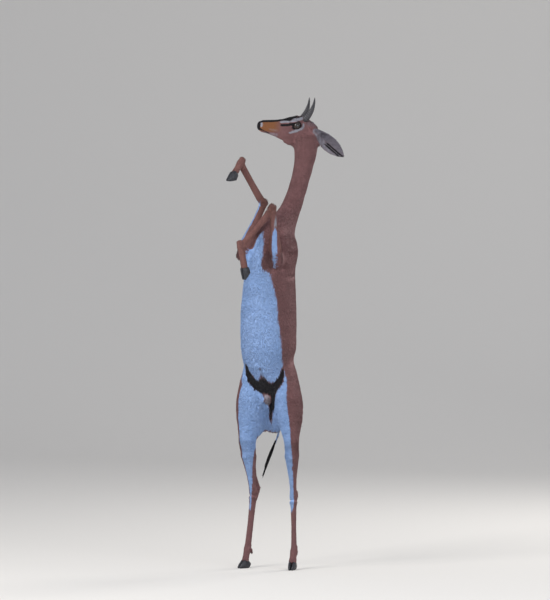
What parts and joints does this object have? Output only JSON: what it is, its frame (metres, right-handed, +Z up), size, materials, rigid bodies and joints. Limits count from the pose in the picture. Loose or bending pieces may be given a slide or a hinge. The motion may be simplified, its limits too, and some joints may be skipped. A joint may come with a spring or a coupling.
{
  "type": "gerenuk",
  "caption": "Life-size gerenuk, a slender long-necked antelope, standing upright on its hind legs with its forelegs folded and its head turned.",
  "frame": {"origin": "on the floor, under the middle of the animal's box", "axes": "+Z up, the belly faces -Y and the animal's own left side is +X"},
  "size_m": [0.3956, 0.687, 1.9842],
  "materials": {
    "coat": "short reddish brown hair",
    "belly": "short white hair",
    "tuft": "long black hair",
    "horn": "ringed dark horn",
    "hoof": "smooth dark horn",
    "eye": "wet dark eye"
  },
  "bodies": {
    "root": {"rump": "coat", "abdomen": "belly", "chest": "coat", "neck_lower": "coat", "neck_upper": "coat", "head": "coat", "eye_left": "eye", "eye_right": "eye", "horn_left": "horn", "horn_right": "horn", "ear_left": "coat", "ear_right": "coat", "thigh_left": "coat", "thigh_right": "coat", "gaskin_left": "coat", "gaskin_right": "coat", "hind_cannon_left": "coat", "hind_cannon_right": "coat", "hind_pastern_left": "coat", "hind_pastern_right": "coat", "hind_claw_left_1": "hoof", "hind_claw_left_2": "hoof", "hind_claw_right_1": "hoof", "hind_claw_right_2": "hoof", "shoulder_left": "coat", "shoulder_right": "coat", "forearm_left": "coat", "forearm_right": "coat", "fore_cannon_left": "coat", "fore_cannon_right": "coat", "fore_pastern_left": "coat", "fore_pastern_right": "coat", "fore_claw_left_1": "hoof", "fore_claw_left_2": "hoof", "fore_claw_right_1": "hoof", "fore_claw_right_2": "hoof", "tail": "coat", "tail_tuft": "tuft"}
  },
  "joints": []
}
